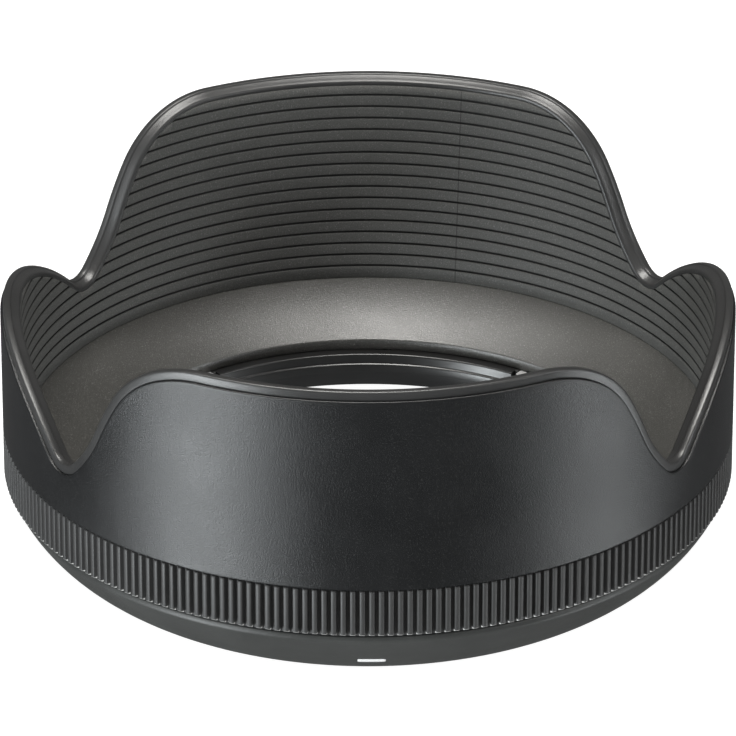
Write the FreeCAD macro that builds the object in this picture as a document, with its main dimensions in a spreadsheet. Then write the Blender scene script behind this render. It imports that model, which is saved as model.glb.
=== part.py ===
"""Petal lens hood with a bayonet rear mount, as a parametric document.

Millimetres. The optical axis is Z, the rear face of the collar lies on z = 0 and the
hood opens upwards. The two long petals stand across Y, the two short ones across X.
"""
import FreeCAD
import Part
import Sketcher
import math
import os

V = FreeCAD.Vector
Z_AXIS = V(0, 0, 1)

doc = FreeCAD.newDocument("lens_hood")
dims = doc.addObject("Spreadsheet::Sheet", "dims")

SIZES = [
    # outer wall
    ("wall_r", "55"),
    ("shell_thickness", "1.95"),
    ("blank_top_z", "60"),
    ("wall_base_z", "17.4"),
    ("grip_seat_r", "53.85"),
    ("shell_bottom_z", "9.3"),
    ("shell_foot_r", "52.2"),
    ("shell_shelf_z", "13.6"),
    ("shell_in_r", "=wall_r - shell_thickness"),
    ("short_petal_z", "36.5"),
    # inner liner with its light-trap grooves
    ("liner_r", "52"),
    ("liner_out_r", "53"),
    ("liner_bottom_z", "14.85"),
    ("groove_first_z", "16.9"),
    ("groove_pitch", "1.97"),
    ("groove_count", "16"),
    ("groove_half", "0.22"),
    ("groove_depth", "0.28"),
    ("groove_in_r", "=liner_r - 0.2"),
    ("groove_out_r", "=liner_r + groove_depth"),
    ("groove_low_z", "=groove_first_z - groove_half"),
    ("groove_high_z", "=groove_first_z + groove_half"),
    ("groove_run", "=groove_pitch * (groove_count - 1)"),
    # bead along the petal edge
    ("bead_in_r", "52.2"),
    ("bead_out_r", "54.6"),
    ("bead_outer_rise", "1.4"),
    ("bead_inner_rise", "0.6"),
    ("bead_seat_gap", "0.02"),
    # conical floor inside the rear of the hood
    ("throat_r", "43.3"),
    ("throat_top_z", "8.2"),
    ("throat_bottom_z", "6.6"),
    ("neck_out_r", "44.7"),
    ("neck_top_z", "7.75"),
    ("floor_r", "52.1"),
    ("floor_top_z", "14.8"),
    ("floor_rim_r", "52.95"),
    ("floor_rim_low_z", "13.65"),
    ("floor_under_z", "13.3"),
    # rear cover: a rounded underside that narrows to the collar
    ("level_zero", "0"),
    ("cover_top_z", "9.25"),
    ("cover_lip_r", "53.9"),
    ("cover_lip_z", "9.1"),
    ("cover_edge_r", "54.2"),
    ("cover_edge_z", "8.85"),
    ("collar_foot_r", "46.07"),
    ("collar_bore_r", "45.2"),
    ("collar_in_z", "1.6"),
    ("belly_radius", "19.5"),
    ("belly_in_radius", "18"),
    ("cover_in_r", "52.5"),
    # white index mark on the underside
    ("mark_length", "4.1"),
    ("mark_height", "1.2"),
    ("mark_depth", "0.5"),
    ("mark_r", "50.6"),
    ("mark_z", "3.52"),
    ("mark_lean", "43.6"),
    ("mark_play", "0.02"),
    ("recess_open", "1"),
    # bayonet ring
    ("ring_out_r", "45.15"),
    ("ring_bore_r", "43.9"),
    ("ledge_r", "42.75"),
    ("ledge_z", "3.5"),
    ("ring_top_z", "6.5"),
    ("lug_high_r", "41.6"),
    ("lug_low_r", "41.3"),
    ("lug_step_z", "4.9"),
    ("lug_root_r", "43.2"),
    ("lug_sweep", "66"),
    ("lug_count", "3"),
    # sprung click catches beside the far lug
    ("catch_offset", "34.75"),
    ("catch_tip_r", "41.55"),
    ("catch_back_r", "45.1"),
    ("catch_half", "0.6"),
    ("catch_nose", "0.45"),
    ("catch_bottom_z", "5.25"),
    ("catch_height", "1.2"),
    ("slot_play", "0.05"),
    ("slot_bottom_z", "5.2"),
    # leaf springs behind the catches
    ("spring_in_r", "45.2"),
    ("spring_out_r", "45.42"),
    ("spring_low_z", "5.4"),
    ("spring_high_z", "6.3"),
    ("spring_sweep", "14"),
    # knurled grip
    ("grip_in_r", "53.9"),
    ("grip_root_r", "54.2"),
    ("grip_tip_r", "55"),
    ("grip_bottom_z", "9.7"),
    ("grip_top_z", "17.35"),
    ("rib_count", "248"),
    ("rib_base_share", "0.74"),
    ("rib_land_share", "0.42"),
]

# The petal edge on the unrolled wall, from the middle of a short petal: a chain of arcs
# that meet without a corner, each with its radius (minus where the edge is rounded, plus
# where it is hollow) and the slope at its end in degrees. A level stretch closes it.
EDGE_ARCS = [
    ("crown", -45, -41),
    ("valley", 5, 42),
    ("lower_flank", 26, 64),
    ("upper_flank", -70, 58),
    ("shoulder", -17.5, 0),
]

row = 1
for alias, content in SIZES:
    dims.set("A%d" % row, alias)
    dims.set("B%d" % row, content)
    dims.setAlias("B%d" % row, alias)
    row += 1
for arc_name, radius, slope in EDGE_ARCS:
    for word, value in (("_radius", radius), ("_slope", slope)):
        dims.set("A%d" % row, arc_name + word)
        dims.set("B%d" % row, str(value))
        dims.setAlias("B%d" % row, arc_name + word)
        row += 1
doc.recompute()


def size(alias):
    """The value of a named cell."""
    return float(dims.get(alias))


def origin_plane(body, role):
    """One of the body's own origin planes."""
    return [item for item in body.Origin.OriginFeatures if item.Role == role][0]


def outline_side(here, there, bend):
    """One side of an outline, with its two end numbers in the order of travel."""
    if not bend:
        return Part.LineSegment(here, there), (1, 2)
    alias, side = bend
    radius = size(alias)
    chord = there - here
    right = V(chord.y, -chord.x, 0).normalize()
    centre = (here + there) / 2 - right * side * math.sqrt(radius ** 2 - chord.Length ** 2 / 4)
    first, last = (here, there) if side > 0 else (there, here)
    start = first - centre
    finish = last - centre
    circle = Part.Circle(centre, Z_AXIS, radius)
    arc = Part.ArcOfCircle(circle, math.atan2(start.y, start.x), math.atan2(finish.y, finish.x))
    return arc, (1, 2) if side > 0 else (2, 1)


def outline_sketch(body, name, role, corners):
    """A closed outline whose corners are pairs of named cells.

    A corner that begins an arc also has the radius cell and the side on which the arc
    swells: 1 for the right of travel, -1 for the left.
    """
    sketch = body.newObject("Sketcher::SketchObject", name)
    sketch.AttachmentSupport = [(origin_plane(body, role), "")]
    sketch.MapMode = "FlatFace"
    spots = [V(size(corner[0]), size(corner[1]), 0) for corner in corners]
    ends = []
    for index, spot in enumerate(spots):
        after = spots[(index + 1) % len(spots)]
        side, pair = outline_side(spot, after, corners[index][2:])
        sketch.addGeometry(side, False)
        ends.append(pair)
    for index in range(len(spots)):
        after = (index + 1) % len(spots)
        rule = Sketcher.Constraint("Coincident", index, ends[index][1], after, ends[after][0])
        sketch.addConstraint(rule)
    for index, corner in enumerate(corners):
        for kind, alias in (("DistanceX", corner[0]), ("DistanceY", corner[1])):
            rule = Sketcher.Constraint(kind, -1, 1, index, ends[index][0], size(alias))
            number = sketch.addConstraint(rule)
            sketch.setExpression("Constraints[%d]" % number, "dims." + alias)
        if len(corner) > 2:
            rule = Sketcher.Constraint("Radius", index, size(corner[2]))
            number = sketch.addConstraint(rule)
            sketch.setExpression("Constraints[%d]" % number, "dims." + corner[2])
    return sketch


def turned_body(name, corners, role="XZ_Plane", sweep=None):
    """A body turned about the optical axis, all the way round or over one sweep."""
    body = doc.addObject("PartDesign::Body", name)
    sketch = outline_sketch(body, name + "_outline", role, corners)
    turn = body.newObject("PartDesign::Revolution", name + "_turn")
    turn.Profile = sketch
    turn.ReferenceAxis = (sketch, ["V_Axis"])
    turn.Angle = 360
    if sweep:
        turn.Midplane = True
        turn.setExpression("Angle", "dims." + sweep)
    sketch.Visibility = False
    return body


def petal_height(angle):
    """Height of the petal edge at any angle, by walking along its chain of arcs."""
    folded = abs(angle) % 180
    folded = min(folded, 180 - folded)
    along = size("wall_r") * math.radians(folded)
    across = 0
    height = size("short_petal_z")
    slope = 0
    for arc_name, _, _ in EDGE_ARCS:
        radius = size(arc_name + "_radius")
        finish = math.radians(size(arc_name + "_slope"))
        run = radius * (math.sin(finish) - math.sin(slope))
        if along < across + run:
            here = math.asin(math.sin(slope) + (along - across) / radius)
            return height + radius * (math.cos(slope) - math.cos(here))
        across += run
        height += radius * (math.cos(slope) - math.cos(finish))
        slope = finish
    return height


def petal_point(radius, rise, angle):
    """A point of the petal edge on one cylinder, moved off the edge by rise."""
    wall = size("wall_r")
    climb = petal_height(angle + 0.5) - petal_height(angle - 0.5)
    slope = climb / (wall * math.radians(1.0))
    scale = rise / math.sqrt(1 + slope * slope)
    turn = math.radians(angle) - slope * scale / wall
    height = petal_height(angle) + scale
    return V(radius * math.cos(turn), radius * math.sin(turn), height)


def petal_arc(radius, rise, start, sweep):
    """A smooth stretch of the petal edge on one cylinder."""
    parts = 5
    spots = [petal_point(radius, rise, start + sweep * k / parts) for k in range(parts + 1)]
    nudge = 0.05
    ends = []
    for angle in (start, start + sweep):
        ahead = petal_point(radius, rise, angle + nudge)
        behind = petal_point(radius, rise, angle - nudge)
        ends.append((ahead - behind) * (sweep / (2 * nudge)))
    curve = Part.BSplineCurve()
    curve.interpolate(
        Points=spots,
        Parameters=[k / parts for k in range(parts + 1)],
        InitialTangent=ends[0],
        FinalTangent=ends[1],
        Scale=False,
    )
    return curve.toShape()


def petal_tool(name, inner, outer, reach):
    """The solid above (or below) a ruled surface that follows the petal edge."""
    sweep = 10
    faces = []
    for number in range(360 // sweep):
        start = number * sweep - 2.5
        inside = petal_arc(*inner, start, sweep)
        outside = petal_arc(*outer, start, sweep)
        faces.append(Part.makeRuledSurface(inside, outside))
    tool = doc.addObject("Part::Feature", name)
    tool.Shape = Part.makeShell(faces).extrude(V(0, 0, reach))
    return tool


def cut(name, base, tool):
    """One piece less another."""
    result = doc.addObject("Part::Cut", name)
    result.Base = base
    result.Tool = tool
    return result


def tube(name, inner, outer, low, high):
    """A plain tube between two named radii and two named heights."""
    return turned_body(name, [(inner, low), (outer, low), (outer, high), (inner, high)])


# Everything above the petal edge, taken off the shell and the liner alike.
reach = size("blank_top_z")
above_edge = petal_tool("above_edge", (50, 0), (57, 0), reach)

# Outer shell: the smooth wall, with the seat for the grip and a foot that carries the
# floor and closes on the rear cover.
shell_blank = turned_body("shell_blank", [
    ("shell_in_r", "shell_shelf_z"),
    ("shell_foot_r", "shell_shelf_z"),
    ("shell_foot_r", "shell_bottom_z"),
    ("grip_seat_r", "shell_bottom_z"),
    ("grip_seat_r", "wall_base_z"),
    ("wall_r", "wall_base_z"),
    ("wall_r", "blank_top_z"),
    ("shell_in_r", "blank_top_z"),
])
outer_shell = cut("outer_shell", shell_blank, above_edge)

# Liner: a thin tube with fine grooves that catch stray light.
liner_blank = tube("liner_blank", "liner_r", "liner_out_r", "liner_bottom_z", "blank_top_z")
groove_outline = outline_sketch(liner_blank, "groove_outline", "XZ_Plane", [
    ("groove_in_r", "groove_low_z"),
    ("groove_out_r", "groove_first_z"),
    ("groove_in_r", "groove_high_z"),
])
groove = liner_blank.newObject("PartDesign::Groove", "groove")
groove.Profile = groove_outline
groove.ReferenceAxis = (groove_outline, ["V_Axis"])
groove.Angle = 360
grooves = liner_blank.newObject("PartDesign::LinearPattern", "grooves")
grooves.Originals = [groove]
grooves.Direction = (groove_outline, ["V_Axis"])
grooves.setExpression("Length", "dims.groove_run")
grooves.setExpression("Occurrences", "dims.groove_count")
liner_blank.Tip = grooves
inner_liner = cut("inner_liner", liner_blank, above_edge)

# Bead: the rounded rim along the petal edge, higher outside than inside.
span = size("bead_out_r") - size("bead_in_r")
tilt = (size("bead_outer_rise") - size("bead_inner_rise")) / span
low_rise = size("bead_inner_rise") - tilt * (size("bead_in_r") - 50)
high_rise = size("bead_outer_rise") + tilt * (57 - size("bead_out_r"))
above_bead = petal_tool("above_bead", (50, low_rise), (57, high_rise), reach)
seat = size("bead_seat_gap")
below_bead = petal_tool("below_bead", (50, seat), (57, seat), -reach)
bead_blank = tube("bead_blank", "bead_in_r", "bead_out_r", "liner_bottom_z", "blank_top_z")
bead_trimmed = cut("bead_trimmed", bead_blank, above_bead)
rim_bead = cut("rim_bead", bead_trimmed, below_bead)

# Floor: the cone between the liner and the throat, with a short neck round the throat.
front_baffle = turned_body("front_baffle", [
    ("throat_r", "throat_top_z"),
    ("throat_r", "throat_bottom_z"),
    ("neck_out_r", "throat_bottom_z"),
    ("neck_out_r", "neck_top_z"),
    ("floor_r", "floor_under_z"),
    ("floor_r", "floor_rim_low_z"),
    ("floor_rim_r", "floor_rim_low_z"),
    ("floor_rim_r", "floor_top_z"),
    ("floor_r", "floor_top_z"),
])

# Rear cover: the rounded underside and the collar, with a recess for the index mark.
cover_blank = turned_body("cover_blank", [
    ("collar_bore_r", "level_zero"),
    ("collar_foot_r", "level_zero", "belly_radius", 1),
    ("cover_edge_r", "cover_edge_z"),
    ("cover_lip_r", "cover_lip_z"),
    ("cover_lip_r", "cover_top_z"),
    ("cover_in_r", "cover_top_z", "belly_in_radius", -1),
    ("collar_bore_r", "collar_in_z"),
])


def mark_block(name, play, proud):
    """The block that lies in the sloping underside, as the mark or as its recess."""
    gap = size(play)
    lean = math.radians(size("mark_lean"))
    along = V(0, -math.sin(lean), math.cos(lean))
    outward = V(0, -math.cos(lean), -math.sin(lean))
    block = doc.addObject("Part::Box", name)
    block.setExpression("Length", "dims.mark_length + 2 * dims." + play)
    block.setExpression("Width", "dims.mark_depth + dims.%s + dims.%s" % (play, proud))
    block.setExpression("Height", "dims.mark_height + 2 * dims." + play)
    corner = V(-size("mark_length") / 2 - gap, -size("mark_r"), size("mark_z"))
    corner += along * (-size("mark_height") / 2 - gap) + outward * size(proud)
    turn = FreeCAD.Rotation(V(1, 0, 0), size("mark_lean"))
    block.Placement = FreeCAD.Placement(corner, turn)
    return block


recess_tool = mark_block("recess_tool", "mark_play", "recess_open")
rear_cover = cut("rear_cover", cover_blank, recess_tool)

# Index mark: a white dash let into the underside.
index_mark = mark_block("index_mark", "level_zero", "level_zero")

# Bayonet ring: bore, ledge and three lugs, slotted beside the far lug for the catches.
ring_blank = turned_body("ring_blank", [
    ("ring_bore_r", "level_zero"),
    ("ring_out_r", "level_zero"),
    ("ring_out_r", "ring_top_z"),
    ("ledge_r", "ring_top_z"),
    ("ledge_r", "ledge_z"),
    ("ring_bore_r", "ledge_z"),
])
lug_outline = outline_sketch(ring_blank, "lug_outline", "YZ_Plane", [
    ("lug_low_r", "ledge_z"),
    ("lug_root_r", "ledge_z"),
    ("lug_root_r", "ring_top_z"),
    ("lug_high_r", "ring_top_z"),
    ("lug_high_r", "lug_step_z"),
    ("lug_low_r", "lug_step_z"),
])
lug = ring_blank.newObject("PartDesign::Revolution", "lug")
lug.Profile = lug_outline
lug.ReferenceAxis = (lug_outline, ["V_Axis"])
lug.Midplane = True
lug.setExpression("Angle", "dims.lug_sweep")
lugs = ring_blank.newObject("PartDesign::PolarPattern", "lugs")
lugs.Originals = [lug]
lugs.Axis = (lug_outline, ["V_Axis"])
lugs.Angle = 360
lugs.setExpression("Occurrences", "dims.lug_count")
ring_blank.Tip = lugs


def catch_slot(name, side):
    """The radial slot through the ring for one catch."""
    block = doc.addObject("Part::Box", name)
    block.Length = 6
    block.setExpression("Width", "2 * (dims.catch_half + dims.slot_play)")
    block.Height = 3
    angle = 90 + side * size("catch_offset")
    turn = FreeCAD.Rotation(Z_AXIS, angle)
    half = size("catch_half") + size("slot_play")
    corner = turn.multVec(V(size("lug_low_r"), -half, size("slot_bottom_z")))
    block.Placement = FreeCAD.Placement(corner, turn)
    return block


slot_right = catch_slot("slot_right", -1)
slot_left = catch_slot("slot_left", 1)
ring_half_cut = cut("ring_half_cut", ring_blank, slot_right)
mount_ring = cut("mount_ring", ring_half_cut, slot_left)


def click_catch(name, side):
    """A small catch with a bevelled nose that slides radially in its slot."""
    body = doc.addObject("PartDesign::Body", name)
    sketch = body.newObject("Sketcher::SketchObject", name + "_outline")
    sketch.AttachmentSupport = [(origin_plane(body, "XY_Plane"), "")]
    sketch.MapMode = "FlatFace"
    sketch.setExpression("AttachmentOffset.Base.z", "dims.catch_bottom_z")
    tip = "dims.catch_tip_r"
    shoulder = "dims.catch_tip_r + dims.catch_nose"
    back = "dims.catch_back_r"
    half = "dims.catch_half"
    spots = [
        (size("catch_tip_r"), 0.2, tip, "0.2"),
        (size("catch_tip_r") + size("catch_nose"), size("catch_half"), shoulder, half),
        (size("catch_back_r"), size("catch_half"), back, half),
        (size("catch_back_r"), -size("catch_half"), back, "-" + half),
        (size("catch_tip_r") + size("catch_nose"), -size("catch_half"), shoulder, "-" + half),
        (size("catch_tip_r"), -0.2, tip, "-0.2"),
    ]
    for index, spot in enumerate(spots):
        after = spots[(index + 1) % len(spots)]
        line = Part.LineSegment(V(spot[0], spot[1], 0), V(after[0], after[1], 0))
        sketch.addGeometry(line, False)
    for index in range(len(spots)):
        after = (index + 1) % len(spots)
        sketch.addConstraint(Sketcher.Constraint("Coincident", index, 2, after, 1))
    for index, (across, up, across_rule, up_rule) in enumerate(spots):
        pairs = (("DistanceX", across, across_rule), ("DistanceY", up, up_rule))
        for kind, value, rule in pairs:
            number = sketch.addConstraint(Sketcher.Constraint(kind, -1, 1, index, 1, value))
            sketch.setExpression("Constraints[%d]" % number, rule)
    pad = body.newObject("PartDesign::Pad", name + "_pad")
    pad.Profile = sketch
    pad.setExpression("Length", "dims.catch_height")
    turn = FreeCAD.Rotation(Z_AXIS, 90 + side * size("catch_offset"))
    body.Placement = FreeCAD.Placement(V(0, 0, 0), turn)
    return body


click_catch_right = click_catch("click_catch_right", -1)
click_catch_left = click_catch("click_catch_left", 1)


def click_spring(name, side):
    """A short curved leaf that lies round the ring behind one catch."""
    body = turned_body(name, [
        ("spring_in_r", "spring_low_z"),
        ("spring_out_r", "spring_low_z"),
        ("spring_out_r", "spring_high_z"),
        ("spring_in_r", "spring_high_z"),
    ], sweep="spring_sweep")
    turn = FreeCAD.Rotation(Z_AXIS, 90 + side * size("catch_offset"))
    body.Placement = FreeCAD.Placement(V(0, 0, 0), turn)
    return body


click_spring_right = click_spring("click_spring_right", -1)
click_spring_left = click_spring("click_spring_left", 1)

# Grip: a band of straight ribs, each a trapezium in section.
count = int(size("rib_count"))
pitch = 2 * math.pi / count
corners = []
for number in range(count):
    middle = number * pitch
    base = size("rib_base_share") * pitch / 2
    land = size("rib_land_share") * pitch / 2
    root = size("grip_root_r")
    tip = size("grip_tip_r")
    for turn, radius in ((-base, root), (-land, tip), (land, tip), (base, root)):
        angle = middle + turn
        corners.append(V(radius * math.cos(angle), radius * math.sin(angle), 0))
corners.append(corners[0])
outer_wire = Part.makePolygon(corners)
inner_wire = Part.Wire([Part.makeCircle(size("grip_in_r"))])
grip_face = Part.makeFace([outer_wire, inner_wire], "Part::FaceMakerBullseye")
grip_ring = doc.addObject("Part::Feature", "grip_ring")
grip_ring.Shape = grip_face.extrude(V(0, 0, size("grip_top_z") - size("grip_bottom_z")))
grip_ring.Placement = FreeCAD.Placement(V(0, 0, size("grip_bottom_z")), FreeCAD.Rotation())

PIECES = [
    outer_shell,
    inner_liner,
    rim_bead,
    front_baffle,
    rear_cover,
    index_mark,
    mount_ring,
    click_catch_left,
    click_catch_right,
    click_spring_left,
    click_spring_right,
    grip_ring,
]

doc.recompute()

for item in doc.Objects:
    if "Invalid" in item.State or "Error" in item.State:
        raise RuntimeError("failed object: %s %s" % (item.Name, item.State))
for piece in PIECES:
    piece.Label = piece.Name
    shape = piece.Shape
    if shape.isNull() or not shape.isValid():
        raise RuntimeError("bad shape: " + piece.Label)
    print(piece.Label, len(shape.Solids), round(shape.Volume, 2))

os.makedirs("parts", exist_ok=True)
for piece in PIECES:
    piece.Shape.exportStep(os.path.join("parts", piece.Label + ".step"))
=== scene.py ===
"""Petal lens hood on a pale floor: detailed skin pieces around the CAD frame."""
import bpy
import bmesh
import math
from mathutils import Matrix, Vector


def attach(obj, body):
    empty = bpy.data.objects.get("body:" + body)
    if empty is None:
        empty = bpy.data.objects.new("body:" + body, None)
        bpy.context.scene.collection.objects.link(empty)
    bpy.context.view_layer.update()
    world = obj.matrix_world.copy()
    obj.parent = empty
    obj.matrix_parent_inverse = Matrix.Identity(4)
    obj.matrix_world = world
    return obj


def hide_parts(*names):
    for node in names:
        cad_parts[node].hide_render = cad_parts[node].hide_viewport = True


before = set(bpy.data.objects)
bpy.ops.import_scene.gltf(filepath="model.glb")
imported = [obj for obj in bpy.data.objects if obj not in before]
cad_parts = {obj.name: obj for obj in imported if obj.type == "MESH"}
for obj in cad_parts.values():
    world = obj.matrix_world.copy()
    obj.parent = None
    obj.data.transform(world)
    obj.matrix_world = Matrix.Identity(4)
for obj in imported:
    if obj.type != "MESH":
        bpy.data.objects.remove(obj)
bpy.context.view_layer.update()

MM = 0.001
FULL_TURN = 360.0

# Radii and heights in millimetres, z up from the rear face of the collar.
WALL_R = 55.0
SHELL_IN_R = 53.05
SHELL_FOOT_R = 52.2
SHELL_BOTTOM = 9.3
SHELL_SHELF = 13.6
GRIP_SEAT_R = 53.85
WALL_BASE = 17.4
SHORT_PETAL_Z = 36.5
LINER_R = 52.0
LINER_OUT_R = 53.0
LINER_BOTTOM = 14.85
LINER_TOP = 48.2
THROAT_R = 43.3
THROAT_BOTTOM = 6.6
NECK_R = 44.7
FLOOR_R = 52.1
FLOOR_RIM_R = 52.95
FLOOR_TOP = 14.8
COLLAR_BORE_R = 45.2
RING_BORE_R = 43.9
RING_OUT_R = 45.15
RING_TOP = 6.5
LEDGE_R = 42.75
LUG_R = 41.6
LUG_LOW_R = 41.3
SLOT_BACK_R = 45.0
SLOT_BOTTOM = 5.2
GRIP_IN_R = 53.9
GRIP_ROOT_R = 54.25
GRIP_TIP_R = 55.0
GRIP_LOW = 9.7
GRIP_HIGH = 17.33
RIB_COUNT = 248
GROOVE_COUNT = 16
GROOVE_FIRST = 16.9
GROOVE_PITCH = 1.97

# How many steps each skin takes around the axis.
FINE_STEPS = 1080
PLAIN_STEPS = 720

# The petal edge on the unrolled wall, from the middle of a short petal: a chain of arcs
# that meet without a corner, each as its radius (minus where the edge is rounded, plus
# where it is hollow) and the slope at its end in degrees. A level stretch closes it.
EDGE_ARCS = [
    (-45.0, -41),
    (5.0, 42),
    (26.0, 64),
    (-70.0, 58),
    (-17.5, 0),
]


def petal_height(angle):
    """Height of the petal edge at any angle, by walking along its chain of arcs."""
    folded = abs(angle) % 180
    folded = min(folded, 180 - folded)
    along = WALL_R * math.radians(folded)
    across = 0.0
    height = SHORT_PETAL_Z
    slope = 0.0
    for radius, end_slope in EDGE_ARCS:
        finish = math.radians(end_slope)
        run = radius * (math.sin(finish) - math.sin(slope))
        if along < across + run:
            here = math.asin(math.sin(slope) + (along - across) / radius)
            return height + radius * (math.cos(slope) - math.cos(here))
        across += run
        height += radius * (math.cos(slope) - math.cos(finish))
        slope = finish
    return height


def on_axis(radius, height):
    """A ring at one radius and height."""
    def place(angle):
        turn = math.radians(angle)
        return Vector((radius * math.cos(turn), radius * math.sin(turn), height))
    return place


def on_edge(radius, rise):
    """A ring that follows the petal edge, moved off it by rise."""
    def place(angle):
        climb = petal_height(angle + 0.5) - petal_height(angle - 0.5)
        slope = climb / (WALL_R * math.radians(1.0))
        scale = rise / math.sqrt(1 + slope * slope)
        turn = math.radians(angle) - slope * scale / WALL_R
        height = petal_height(angle) + scale
        return Vector((radius * math.cos(turn), radius * math.sin(turn), height))
    return place


def under_edge(radius_at, height):
    """A ring at one height that stops at the petal edge where the edge is lower."""
    def place(angle):
        turn = math.radians(angle)
        top = min(height, petal_height(angle) - 0.02)
        radius = radius_at(top)
        return Vector((radius * math.cos(turn), radius * math.sin(turn), top))
    return place


def ring_piece(name, rings, around, material, slot_name, *nodes):
    """A closed solid skinned over rings, riding on the hood in place of CAD nodes.

    around is how many even steps to take, or the angles themselves.
    """
    if isinstance(around, int):
        around = [FULL_TURN * number / around for number in range(around)]
    mesh = bmesh.new()
    grid = []
    for angle in around:
        grid.append([mesh.verts.new(place(angle) * MM) for place in rings])
    count = len(rings)
    for number, here in enumerate(grid):
        there = grid[(number + 1) % len(grid)]
        for k in range(count):
            after = (k + 1) % count
            mesh.faces.new((here[k], there[k], there[after], here[after]))
    return finish_piece(name, mesh, material, nodes)


def finish_piece(name, mesh, material, nodes):
    """Cleans a mesh, gives it its material and hands it to the frame."""
    bmesh.ops.remove_doubles(mesh, verts=mesh.verts, dist=1e-7)
    bmesh.ops.dissolve_degenerate(mesh, edges=mesh.edges, dist=1e-7)
    bmesh.ops.recalc_face_normals(mesh, faces=mesh.faces)
    for face in mesh.faces:
        face.smooth = True
    data = bpy.data.meshes.new(name)
    mesh.to_mesh(data)
    mesh.free()
    data.materials.append(material)
    piece = bpy.data.objects.new(name, data)
    bpy.context.scene.collection.objects.link(piece)
    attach(piece, "hood")
    if nodes:
        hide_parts(*nodes)
    return piece


def rounded(corners, steps=4):
    """A closed outline with its corners rounded: (r, z, reach of the rounding)."""
    outline = []
    count = len(corners)
    for k, (r, z, reach) in enumerate(corners):
        here = Vector((r, z))
        before = Vector(corners[k - 1][:2]) - here
        after = Vector(corners[(k + 1) % count][:2]) - here
        if reach == 0:
            outline.append(here)
            continue
        first = here + before.normalized() * reach
        last = here + after.normalized() * reach
        outline.append(first + before.normalized() * reach * 0.4)
        for step in range(steps + 1):
            u = step / steps
            spot = first * (1 - u) ** 2 + here * 2 * u * (1 - u) + last * u * u
            outline.append(spot)
        outline.append(last + after.normalized() * reach * 0.4)
    return [on_axis(spot.x, spot.y) for spot in outline]


# Materials ---------------------------------------------------------------------------

def multiply_node(nodes):
    """A colour mix that multiplies input 6 by input 7."""
    mix = nodes.new("ShaderNodeMix")
    mix.data_type = "RGBA"
    mix.blend_type = "MULTIPLY"
    mix.inputs["Factor"].default_value = 1.0
    return mix


def map_node(nodes, from_low, from_high, to_low=0.0, to_high=1.0):
    """A map range between two pairs of values."""
    mapped = nodes.new("ShaderNodeMapRange")
    mapped.inputs["From Min"].default_value = from_low
    mapped.inputs["From Max"].default_value = from_high
    mapped.inputs["To Min"].default_value = to_low
    mapped.inputs["To Max"].default_value = to_high
    return mapped


def radius_node(nodes, links, where):
    """The distance from the optical axis, from a texture coordinate node."""
    flat = nodes.new("ShaderNodeVectorMath")
    flat.operation = "MULTIPLY"
    flat.inputs[1].default_value = (1.0, 1.0, 0.0)
    reach = nodes.new("ShaderNodeVectorMath")
    reach.operation = "LENGTH"
    links.new(where.outputs["Object"], flat.inputs[0])
    links.new(flat.outputs["Vector"], reach.inputs[0])
    return reach


def math_node(nodes, operation):
    """A math node with one operation."""
    node = nodes.new("ShaderNodeMath")
    node.operation = operation
    return node


def opened(material):
    """A material's nodes, links and shader, and the socket that feeds its colour."""
    nodes = material.node_tree.nodes
    links = material.node_tree.links
    shader = nodes["Principled BSDF"]
    return nodes, links, shader, shader.inputs["Base Color"].links[0].from_socket


BROAD_SCALE = 90.0
# Size and colour of the painted glints of the sparkle.
GLINT_SCALE = 5600.0
GLINT_COLOUR = (0.75, 0.75, 0.72, 1.0)
GLOSS_SPREAD = 0.04
BUMP_DEPTH = 0.1 * MM


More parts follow.
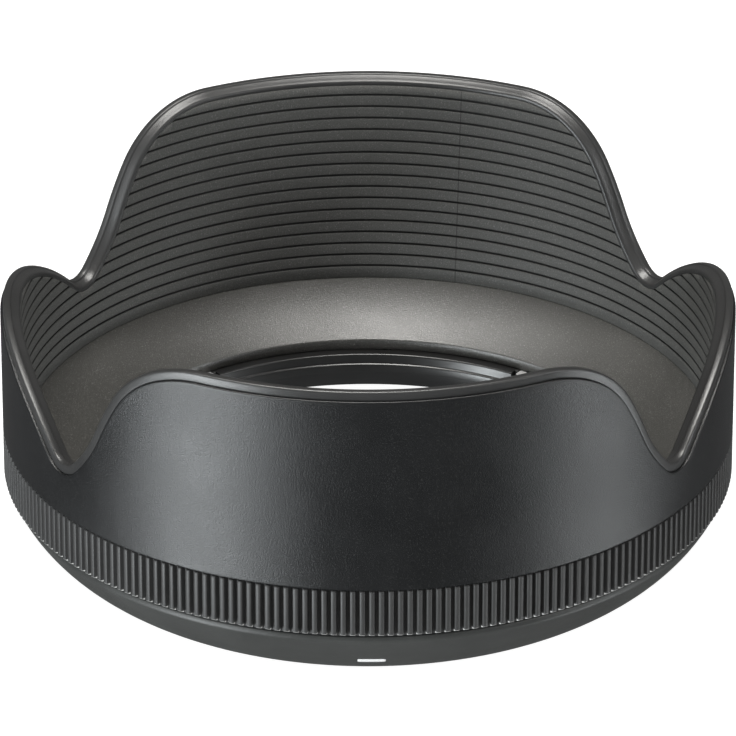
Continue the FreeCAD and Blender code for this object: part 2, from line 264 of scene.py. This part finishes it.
def plastic(
    name, colour, roughness, specular, grain, grain_scale, mottling=0.12, speck=0.0, sparkle=0.0
):
    """Moulded plastic: fine grain in the bump, slight change of tone and roughness, and pale dots
    painted into the colour as glints off the grain.
    """
    material = bpy.data.materials.new(name)
    material.use_nodes = True
    nodes = material.node_tree.nodes
    links = material.node_tree.links
    shader = nodes["Principled BSDF"]
    shader.inputs["Specular IOR Level"].default_value = specular
    where = nodes.new("ShaderNodeTexCoord")
    fine = nodes.new("ShaderNodeTexNoise")
    fine.inputs["Scale"].default_value = grain_scale
    fine.inputs["Detail"].default_value = 3.0
    fine.inputs["Roughness"].default_value = 0.6
    broad = nodes.new("ShaderNodeTexNoise")
    broad.inputs["Scale"].default_value = BROAD_SCALE
    broad.inputs["Detail"].default_value = 4.0
    links.new(where.outputs["Object"], fine.inputs["Vector"])
    links.new(where.outputs["Object"], broad.inputs["Vector"])
    tone = map_node(nodes, 0.3, 0.7, 1.0 - mottling, 1.0 + mottling)
    links.new(broad.outputs["Fac"], tone.inputs["Value"])
    tint = multiply_node(nodes)
    tint.inputs[6].default_value = (*colour, 1.0)
    links.new(tone.outputs["Result"], tint.inputs[7])
    colour_out = tint.outputs[2]
    if speck > 0:
        dots = map_node(nodes, 0.35, 0.75, 1.0 - speck, 1.0 + speck)
        links.new(fine.outputs["Fac"], dots.inputs["Value"])
        spotted = multiply_node(nodes)
        links.new(colour_out, spotted.inputs[6])
        links.new(dots.outputs["Result"], spotted.inputs[7])
        colour_out = spotted.outputs[2]
    # Painted highlights: pale dots in the colour that stand in for glints off the grain.
    if sparkle > 0:
        glint_noise = nodes.new("ShaderNodeTexNoise")
        glint_noise.inputs["Scale"].default_value = GLINT_SCALE
        glint_noise.inputs["Detail"].default_value = 1.0
        links.new(where.outputs["Object"], glint_noise.inputs["Vector"])
        glint_mask = map_node(nodes, 0.6, 0.74, 0.0, sparkle)
        links.new(glint_noise.outputs["Fac"], glint_mask.inputs["Value"])
        glint = nodes.new("ShaderNodeMix")
        glint.data_type = "RGBA"
        glint.inputs[7].default_value = GLINT_COLOUR
        links.new(glint_mask.outputs["Result"], glint.inputs["Factor"])
        links.new(colour_out, glint.inputs[6])
        colour_out = glint.outputs[2]
    links.new(colour_out, shader.inputs["Base Color"])
    gloss = map_node(nodes, 0.3, 0.7, roughness - GLOSS_SPREAD, roughness + GLOSS_SPREAD)
    links.new(broad.outputs["Fac"], gloss.inputs["Value"])
    links.new(gloss.outputs["Result"], shader.inputs["Roughness"])
    bump = nodes.new("ShaderNodeBump")
    bump.inputs["Strength"].default_value = grain
    bump.inputs["Distance"].default_value = BUMP_DEPTH
    links.new(fine.outputs["Fac"], bump.inputs["Height"])
    links.new(bump.outputs["Normal"], shader.inputs["Normal"])
    return material


def paint_groove_shade(material):
    """Paints shade into the liner's grooves: darkens whatever lies behind the liner's inner face,
    as painted shade in the recesses.
    """
    nodes, links, shader, colour_out = opened(material)
    where = nodes.new("ShaderNodeTexCoord")
    reach = radius_node(nodes, links, where)
    # Painted shade: the deeper behind the inner face, the darker the colour.
    depth = map_node(nodes, (LINER_R + 0.03) * MM, (LINER_R + 0.16) * MM, 1.0, 0.12)
    shade = multiply_node(nodes)
    links.new(reach.outputs["Value"], depth.inputs["Value"])
    links.new(colour_out, shade.inputs[6])
    links.new(depth.outputs["Result"], shade.inputs[7])
    links.new(shade.outputs[2], shader.inputs["Base Color"])


def paint_rib_end_highlight(material):
    """Paints a highlight on the bevelled lower ends of the ribs: a lighter tone that stands in
    for light from the floor catching them.
    """
    nodes, links, shader, colour_out = opened(material)
    where = nodes.new("ShaderNodeTexCoord")
    split = nodes.new("ShaderNodeSeparateXYZ")
    ends = map_node(nodes, (GRIP_LOW + 0.5) * MM, (GRIP_LOW + 0.3) * MM)
    reach = radius_node(nodes, links, where)
    proud = map_node(nodes, (GRIP_ROOT_R + 0.12) * MM, (GRIP_ROOT_R + 0.25) * MM)
    both = math_node(nodes, "MULTIPLY")
    # Painted highlight: a pale colour mixed in where the ribs' ends stand proud.
    end_highlight = nodes.new("ShaderNodeMix")
    end_highlight.data_type = "RGBA"
    end_highlight.inputs[7].default_value = (0.45, 0.45, 0.44, 1.0)
    links.new(where.outputs["Object"], split.inputs["Vector"])
    links.new(split.outputs["Z"], ends.inputs["Value"])
    links.new(reach.outputs["Value"], proud.inputs["Value"])
    links.new(ends.outputs["Result"], both.inputs[0])
    links.new(proud.outputs["Result"], both.inputs[1])
    links.new(both.outputs["Value"], end_highlight.inputs["Factor"])
    links.new(colour_out, end_highlight.inputs[6])
    links.new(end_highlight.outputs[2], shader.inputs["Base Color"])


def draw_seam(material, angle, lean, half_width):
    """A faint mould seam up the liner, at one angle and with a lean in radians a metre."""
    nodes, links, shader, colour_out = opened(material)
    where = nodes.new("ShaderNodeTexCoord")
    split = nodes.new("ShaderNodeSeparateXYZ")
    turn = math_node(nodes, "ARCTAN2")
    tilt = math_node(nodes, "MULTIPLY_ADD")
    tilt.inputs[1].default_value = -lean
    offset = math_node(nodes, "SUBTRACT")
    offset.inputs[1].default_value = math.radians(angle)
    distance = math_node(nodes, "ABSOLUTE")
    edge = math.radians(half_width)
    line = map_node(nodes, edge * 0.4, edge, 0.4, 1.0)
    shade = multiply_node(nodes)
    links.new(where.outputs["Object"], split.inputs["Vector"])
    links.new(split.outputs["Y"], turn.inputs[0])
    links.new(split.outputs["X"], turn.inputs[1])
    links.new(split.outputs["Z"], tilt.inputs[0])
    links.new(turn.outputs["Value"], tilt.inputs[2])
    links.new(tilt.outputs["Value"], offset.inputs[0])
    links.new(offset.outputs["Value"], distance.inputs[0])
    links.new(distance.outputs["Value"], line.inputs["Value"])
    links.new(colour_out, shade.inputs[6])
    links.new(line.outputs["Result"], shade.inputs[7])
    links.new(shade.outputs[2], shader.inputs["Base Color"])


wall_plastic = plastic(
    "wall_plastic", (0.0045, 0.0048, 0.0052), 0.34, 0.45, 0.55, 5200.0, sparkle=0.02
)
rim_plastic = plastic("rim_plastic", (0.022, 0.022, 0.022), 0.34, 0.5, 0.25, 5600.0)
liner_plastic = plastic(
    "liner_plastic", (0.056, 0.056, 0.053), 0.6, 0.3, 0.5, 5200.0, mottling=0.06, speck=0.2,
    sparkle=0.08,
)
floor_plastic = plastic(
    "floor_plastic", (0.037, 0.036, 0.033), 0.36, 0.7, 0.6, 5200.0, mottling=0.06, speck=0.3,
    sparkle=0.12,
)
collar_plastic = plastic(
    "collar_plastic", (0.03, 0.031, 0.03), 0.4, 0.3, 0.25, 6000.0, sparkle=0.03
)
mount_plastic = plastic("mount_plastic", (0.01, 0.01, 0.01), 0.3, 0.5, 0.1, 5200.0)
catch_plastic = plastic("catch_plastic", (0.3, 0.3, 0.3), 0.25, 0.6, 0.1, 5200.0)
grip_rubber = plastic("grip_rubber", (0.026, 0.026, 0.026), 0.5, 0.4, 0.3, 6000.0, sparkle=0.02)
mark_paint = plastic("mark_paint", (0.5, 0.5, 0.5), 0.4, 0.4, 0.1, 5200.0, mottling=0.03)
spring_steel = plastic("spring_steel", (0.45, 0.45, 0.45), 0.3, 0.5, 0.1, 5200.0)
spring_steel.node_tree.nodes["Principled BSDF"].inputs["Metallic"].default_value = 1.0

draw_seam(liner_plastic, 74.6, -0.5, 0.12)
# Painted shade in the liner's grooves.
paint_groove_shade(liner_plastic)
# Painted highlight on the ribs' lower ends.
paint_rib_end_highlight(grip_rubber)

# Outer wall ----------------------------------------------------------------------------
wall_rings = rounded([
    (SHELL_IN_R, SHELL_SHELF, 0),
    (SHELL_FOOT_R, SHELL_SHELF, 0),
    (SHELL_FOOT_R, SHELL_BOTTOM, 0),
    (GRIP_SEAT_R, SHELL_BOTTOM, 0),
    (GRIP_SEAT_R, WALL_BASE, 0),
    (WALL_R, WALL_BASE, 0.3),
    (WALL_R, 20.0, 0),
])
wall_rings += [
    on_edge(WALL_R, -0.5),
    on_edge(WALL_R, -0.16),
    on_edge(54.96, -0.06),
    on_edge(54.88, -0.01),
    on_edge(54.78, 0.0),
    on_edge(SHELL_IN_R, 0.0),
]
ring_piece("wall_skin", wall_rings, FINE_STEPS, wall_plastic, "shell_plastic", "outer_shell")

# Rim bead ------------------------------------------------------------------------------
# Its section, as radii and rises above the petal edge.
BEAD = [
    (52.2, 0.0),
    (54.58, 0.0),
    (54.6, 0.1),
    (54.6, 0.5),
    (54.6, 0.9),
    (54.58, 1.12),
    (54.52, 1.26),
    (54.42, 1.35),
    (54.28, 1.39),
    (54.0, 1.4),
    (53.62, 1.38),
    (53.52, 1.35),
    (53.44, 1.28),
    (53.38, 1.17),
    (53.28, 1.1),
    (52.6, 0.84),
    (52.3, 0.73),
    (52.14, 0.62),
    (52.04, 0.45),
    (52.0, 0.26),
    (52.0, 0.12),
    (52.05, 0.0),
]
ring_piece(
    "rim_bead_skin",
    [on_edge(radius, rise) for radius, rise in BEAD],
    FINE_STEPS,
    rim_plastic,
    "rim_plastic",
    "rim_bead",
)

# Liner with its grooves ----------------------------------------------------------------
# One groove in section, as heights from its middle and depths.
GROOVE = [
    (-0.34, 0.0),
    (-0.2, 0.03),
    (-0.12, 0.26),
    (0.0, 0.34),
    (0.12, 0.26),
    (0.2, 0.03),
    (0.34, 0.0),
]
liner_outline = [(LINER_R, LINER_BOTTOM)]
for number in range(GROOVE_COUNT):
    middle = GROOVE_FIRST + GROOVE_PITCH * number
    liner_outline += [(LINER_R + depth, middle + offset) for offset, depth in GROOVE]
liner_outline.append((LINER_R, LINER_TOP))


def liner_radius(height):
    """Radius of the liner's inner face at one height."""
    for (r0, z0), (r1, z1) in zip(liner_outline, liner_outline[1:]):
        if height <= z1:
            return r0 + (r1 - r0) * (height - z0) / (z1 - z0)
    return LINER_R


liner_rings = [on_axis(LINER_OUT_R, LINER_BOTTOM)]
liner_rings += [under_edge(liner_radius, z) for _, z in liner_outline]
liner_rings.append(under_edge(lambda height: LINER_OUT_R, LINER_TOP))
ring_piece("liner_skin", liner_rings, FINE_STEPS, liner_plastic, "liner_plastic", "inner_liner")

# Floor ---------------------------------------------------------------------------------
floor_rings = rounded([
    (THROAT_R, 8.2, 0.16),
    (THROAT_R, THROAT_BOTTOM, 0),
    (NECK_R, THROAT_BOTTOM, 0),
    (NECK_R, 7.75, 0),
    (FLOOR_R, 13.3, 0),
    (FLOOR_RIM_R, 13.65, 0),
    (FLOOR_RIM_R, FLOOR_TOP, 0),
    (FLOOR_R, FLOOR_TOP, 0),
])
ring_piece("floor_skin", floor_rings, PLAIN_STEPS, floor_plastic, "floor_plastic", "front_baffle")

# Rear cover ----------------------------------------------------------------------------
BOW_STEPS = 14


def bow(start, end, radius, side):
    """Corners along an arc: side 1 swells to the right of travel, -1 to the left."""
    start = Vector(start)
    end = Vector(end)
    chord = end - start
    right = Vector((chord.y, -chord.x)).normalized() * side
    depth = math.sqrt(radius ** 2 - chord.length ** 2 / 4)
    centre = (start + end) / 2 - right * depth
    corners = []
    for step in range(BOW_STEPS + 1):
        spot = start.lerp(end, step / BOW_STEPS) - centre
        spot = centre + spot.normalized() * radius
        corners.append((spot.x, spot.y, 0))
    return corners


cover_rings = rounded(
    [(COLLAR_BORE_R, 0.0, 0.15)]
    + bow((46.07, 0.0), (54.2, 8.85), 19.5, 1)
    + [(53.9, 9.1, 0), (53.9, 9.25, 0)]
    + bow((52.5, 9.25), (COLLAR_BORE_R, 1.6), 18.0, -1)
)
ring_piece(
    "cover_skin", cover_rings, PLAIN_STEPS, collar_plastic, "collar_plastic", "rear_cover"
)

# Index mark ----------------------------------------------------------------------------
# A thin inlay on the sloping underside, under the middle of the near long petal.
MARK_HALF_ANGLE = 2.32
MARK_R = 50.6
MARK_Z = 3.52
MARK_LEAN = math.radians(43.6)
MARK_HALF = 0.6
UP_SLOPE = Vector((math.sin(MARK_LEAN), math.cos(MARK_LEAN)))
OFF_SLOPE = Vector((math.cos(MARK_LEAN), -math.sin(MARK_LEAN)))
MARK_STEPS = 16
# Its section, as shares of the half height up the slope and distances off the slope.
MARK_SECTION = [(-1, -0.2), (-1, 0.0), (-0.93, 0.03), (0.93, 0.03), (1, 0.0), (1, -0.2)]
mark_mesh = bmesh.new()
mark_rows = []
for step in range(MARK_STEPS + 1):
    share = 2 * step / MARK_STEPS - 1
    half = MARK_HALF * (1.0 - 0.3 * abs(share) ** 12)
    section = []
    for along, off in MARK_SECTION:
        spot = UP_SLOPE * along * half + OFF_SLOPE * off
        place = on_axis(MARK_R + spot.x, MARK_Z + spot.y)
        section.append(mark_mesh.verts.new(place(-90 + share * MARK_HALF_ANGLE) * MM))
    mark_rows.append(section)
for here, there in zip(mark_rows, mark_rows[1:]):
    for k in range(len(MARK_SECTION)):
        after = (k + 1) % len(MARK_SECTION)
        mark_mesh.faces.new((here[k], there[k], there[after], here[after]))
mark_mesh.faces.new(mark_rows[0])
mark_mesh.faces.new(mark_rows[-1])
finish_piece("mark_inlay", mark_mesh, mark_paint, ("index_mark",))

# Grip ----------------------------------------------------------------------------------
# One rib in section, as shares of the pitch and radii, then the heights that give its
# bevelled lower end.
RIB = [
    (-0.5, 0.0),
    (-0.36, 0.0),
    (-0.33, 0.05),
    (-0.25, 0.93),
    (-0.22, 1.0),
    (0.0, 1.0),
    (0.22, 1.0),
    (0.25, 0.93),
    (0.33, 0.05),
    (0.36, 0.0),
]
LEVELS = [
    (GRIP_LOW, 0.0),
    (GRIP_LOW + 0.04, 0.08),
    (GRIP_LOW + 0.36, 0.9),
    (GRIP_LOW + 0.42, 0.98),
    (GRIP_LOW + 0.5, 1.0),
    (13.5, 1.0),
    (GRIP_HIGH - 0.3, 1.0),
    (GRIP_HIGH - 0.12, 0.95),
    (GRIP_HIGH, 0.75),
]
grip_mesh = bmesh.new()
grip_columns = []
for number in range(RIB_COUNT):
    for share, lift in RIB:
        angle = FULL_TURN * (number + share) / RIB_COUNT
        column = [grip_mesh.verts.new(on_axis(GRIP_IN_R, GRIP_LOW)(angle) * MM)]
        for height, fullness in LEVELS:
            radius = GRIP_ROOT_R + (GRIP_TIP_R - GRIP_ROOT_R) * lift * fullness
            column.append(grip_mesh.verts.new(on_axis(radius, height)(angle) * MM))
        column.append(grip_mesh.verts.new(on_axis(GRIP_IN_R, GRIP_HIGH)(angle) * MM))
        grip_columns.append(column)
for number, here in enumerate(grip_columns):
    there = grip_columns[(number + 1) % len(grip_columns)]
    for k in range(len(here)):
        after = (k + 1) % len(here)
        grip_mesh.faces.new((here[k], there[k], there[after], here[after]))
finish_piece("grip_skin", grip_mesh, grip_rubber, ("grip_ring",))

# Bayonet ring: three lugs, with the slots beside the far lug that the catches slide in --
FAR_LUG = 90
LUG_MIDDLES = (FAR_LUG, 210, 330)
LUG_HALF = 33.0
CATCH_OFFSET = 34.75
SLOT_HALF = 0.87


def beside(angle, middle):
    """Angle from a lug's middle, the short way round."""
    return abs((angle - middle + 180) % 360 - 180)


def in_lug(angle):
    """Whether an angle falls within a lug."""
    return any(beside(angle, middle) < LUG_HALF for middle in LUG_MIDDLES)


def in_slot(angle):
    """Whether an angle falls within a catch's slot, beside the far lug."""
    return abs(beside(angle, FAR_LUG) - CATCH_OFFSET) < SLOT_HALF


def lug_ring(lug_r, height, grow=0.0, slotted=True):
    """A ring of the mount whose radius steps in at the lugs and out at the slots."""
    def place(angle):
        radius = (lug_r if in_lug(angle) else LEDGE_R) + grow
        if slotted and in_slot(angle):
            radius = SLOT_BACK_R
        return on_axis(radius, height)(angle)
    return place


mount_rings = [
    on_axis(RING_BORE_R, 3.5),
    on_axis(RING_BORE_R, 3.3),
    on_axis(RING_BORE_R, 0.15),
    on_axis(44.05, 0.0),
    on_axis(45.1, 0.0),
    on_axis(RING_OUT_R, 0.05),
    on_axis(RING_OUT_R, RING_TOP),
    lug_ring(LUG_R, RING_TOP, 0.5),
    lug_ring(LUG_R, RING_TOP, 0.22),
    lug_ring(LUG_R, 6.44, 0.07),
    lug_ring(LUG_R, 6.28),
    lug_ring(LUG_R, 6.1),
    lug_ring(LUG_R, SLOT_BOTTOM),
    lug_ring(LUG_R, SLOT_BOTTOM, slotted=False),
    lug_ring(LUG_R, 5.1, slotted=False),
    lug_ring(41.57, 5.0, slotted=False),
    lug_ring(41.48, 4.92, slotted=False),
    lug_ring(41.36, 4.88, slotted=False),
    lug_ring(LUG_LOW_R, 4.78, slotted=False),
    lug_ring(LUG_LOW_R, 4.6, slotted=False),
    lug_ring(LUG_LOW_R, 3.7, slotted=False),
    lug_ring(41.35, 3.55, slotted=False),
    lug_ring(41.5, 3.5, slotted=False),
]
EDGE_STEP = 0.03
mount_angles = set(range(360))
for middle in LUG_MIDDLES:
    for side in (-1, 1):
        for nudge in (-EDGE_STEP, EDGE_STEP):
            mount_angles.add((middle + side * (LUG_HALF + nudge)) % 360)
for side in (-1, 1):
    for edge in (CATCH_OFFSET - SLOT_HALF, CATCH_OFFSET + SLOT_HALF):
        for nudge in (-EDGE_STEP, EDGE_STEP):
            mount_angles.add((FAR_LUG + side * (edge + nudge)) % 360)
mount_piece = ring_piece(
    "mount_skin", mount_rings, sorted(mount_angles), mount_plastic, "mount_plastic", "mount_ring"
)
mount_piece.data.set_sharp_from_angle(angle=math.radians(50))

# CAD nodes whose shape is already right ------------------------------------------------
KEPT = {
    "click_catch_left": catch_plastic,
    "click_catch_right": catch_plastic,
    "click_spring_left": spring_steel,
    "click_spring_right": spring_steel,
}
for node_name, material in KEPT.items():
    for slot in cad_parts[node_name].material_slots:
        slot.link = "OBJECT"
        slot.material = material

# Floor, light and camera ---------------------------------------------------------------
floor_material = bpy.data.materials.new("studio_floor")
floor_material.use_nodes = True
floor_shader = floor_material.node_tree.nodes["Principled BSDF"]
floor_shader.inputs["Base Color"].default_value = (0.3, 0.3, 0.3, 1.0)
floor_shader.inputs["Emission Color"].default_value = (1.0, 1.0, 1.0, 1.0)
floor_shader.inputs["Emission Strength"].default_value = 0.95
floor_shader.inputs["Roughness"].default_value = 0.9
floor_shader.inputs["Specular IOR Level"].default_value = 0.1
bpy.ops.mesh.primitive_plane_add(size=8.0, location=(0, 0, -0.0002))
studio_floor = bpy.context.object
studio_floor.name = "studio_floor"
studio_floor.data.materials.append(floor_material)
studio_floor.visible_glossy = False
studio_floor.visible_shadow = False

world = bpy.data.worlds.new("studio")
world.use_nodes = True
world.node_tree.nodes["Background"].inputs["Color"].default_value = (1.0, 1.0, 1.0, 1.0)
world.node_tree.nodes["Background"].inputs["Strength"].default_value = 0.12
bpy.context.scene.world = world


def softbox(name, place, target, width, height, power, colour):
    """A soft rectangular studio light."""
    data = bpy.data.lights.new(name, "AREA")
    data.shape = "RECTANGLE"
    data.size = width
    data.size_y = height
    data.energy = power
    data.color = colour
    light = bpy.data.objects.new(name, data)
    light.location = place
    aim = Vector(target) - Vector(place)
    light.rotation_euler = aim.to_track_quat("-Z", "Y").to_euler()
    bpy.context.scene.collection.objects.link(light)


TARGET = (0, 0, 0.02)
WHITE = (1.0, 1.0, 1.0)
softbox("left_box", (-1.28, -1.0, -0.32), TARGET, 0.42, 1.3, 46.0, (0.93, 0.98, 1.0))
softbox("right_box", (1.55, -0.35, -0.6), TARGET, 0.28, 1.7, 17.0, (0.95, 0.99, 1.0))
softbox("right_kick", (1.3, -0.77, 0.73), TARGET, 0.5, 0.5, 7.0, WHITE)
softbox("left_kick", (-1.3, -0.77, 0.73), TARGET, 0.5, 0.5, 3.5, WHITE)
softbox("top_box", (-0.1, 0.0, 1.5), TARGET, 0.8, 0.6, 34.0, (1.0, 0.985, 0.95))

camera_data = bpy.data.cameras.new("camera")
camera_data.lens = 357.9
camera_data.sensor_width = 36.0
camera_data.clip_end = 20.0
camera = bpy.data.objects.new("camera", camera_data)
bpy.context.scene.collection.objects.link(camera)
LOOK_AT = Vector((0, 0, 0.02543))
ELEVATION = math.radians(27.15)
AZIMUTH = math.radians(-90.6)
DISTANCE = 1.1
camera.location = LOOK_AT + DISTANCE * Vector((
    math.cos(ELEVATION) * math.cos(AZIMUTH),
    math.cos(ELEVATION) * math.sin(AZIMUTH),
    math.sin(ELEVATION),
))
camera.rotation_euler = (LOOK_AT - camera.location).to_track_quat("-Z", "Y").to_euler()
bpy.context.scene.camera = camera
bpy.context.scene.view_settings.view_transform = "Standard"
